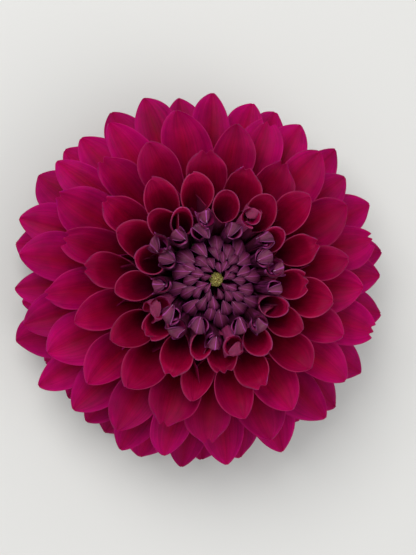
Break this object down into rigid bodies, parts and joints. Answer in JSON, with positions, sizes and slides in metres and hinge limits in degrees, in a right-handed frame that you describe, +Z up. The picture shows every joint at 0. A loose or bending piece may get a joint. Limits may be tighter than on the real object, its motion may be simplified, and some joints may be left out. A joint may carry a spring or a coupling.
{
  "type": "dahlia flower head",
  "caption": "Cut double dahlia bloom lying face up: quilled and cupped petals in spirals round a disc of closed florets, on a domed receptacle with bracts and a stem stub.",
  "frame": {"origin": "centre of the bounding box at its lowest point, on the surface that the bloom rests on", "axes": "+Z up along the flower's axis, out of its face; +X and +Y lie in the resting surface"},
  "size_m": [0.1199, 0.1193, 0.0602],
  "materials": {
    "petal": "satin crimson-magenta petal tissue, darker towards the foot, with fine lengthwise veins",
    "closed_floret": "dusky purple-brown bud tissue with magenta veins and margins",
    "eye": "yellow-green, granular, matt",
    "green": "fresh green stem and leafy bract tissue, faintly waxy",
    "membrane_bract": "thin, papery, pale olive-green"
  },
  "bodies": {
    "root": {"back_petals_lower": "petal", "back_petals_middle": "petal", "back_petals_upper": "petal", "closed_florets": "closed_floret", "green_eye": "eye", "inner_bracts": "membrane_bract", "inner_petals": "petal", "outer_bract_1": "green", "outer_bract_2": "green", "outer_bract_3": "green", "outer_bract_4": "green", "outer_bract_5": "green", "petal_13": "petal", "petal_14": "petal", "petal_15": "petal", "petal_16": "petal", "petal_17": "petal", "petal_18": "petal", "petal_19": "petal", "petal_20": "petal", "petal_21": "petal", "petal_22": "petal", "petal_23": "petal", "petal_24": "petal", "petal_25": "petal", "petal_26": "petal", "petal_27": "petal", "petal_28": "petal", "petal_29": "petal", "petal_30": "petal", "petal_31": "petal", "petal_32": "petal", "petal_33": "petal", "petal_34": "petal", "petal_35": "petal", "petal_36": "petal", "petal_37": "petal", "petal_38": "petal", "petal_39": "petal", "petal_40": "petal", "petal_41": "petal", "petal_42": "petal", "petal_43": "petal", "petal_44": "petal", "petal_45": "petal", "petal_46": "petal", "petal_47": "petal", "petal_48": "petal", "petal_49": "petal", "petal_50": "petal", "petal_51": "petal", "petal_52": "petal", "petal_53": "petal", "petal_54": "petal", "petal_55": "petal", "petal_56": "petal", "petal_57": "petal", "petal_58": "petal", "stem_and_receptacle": "green"}
  },
  "joints": []
}
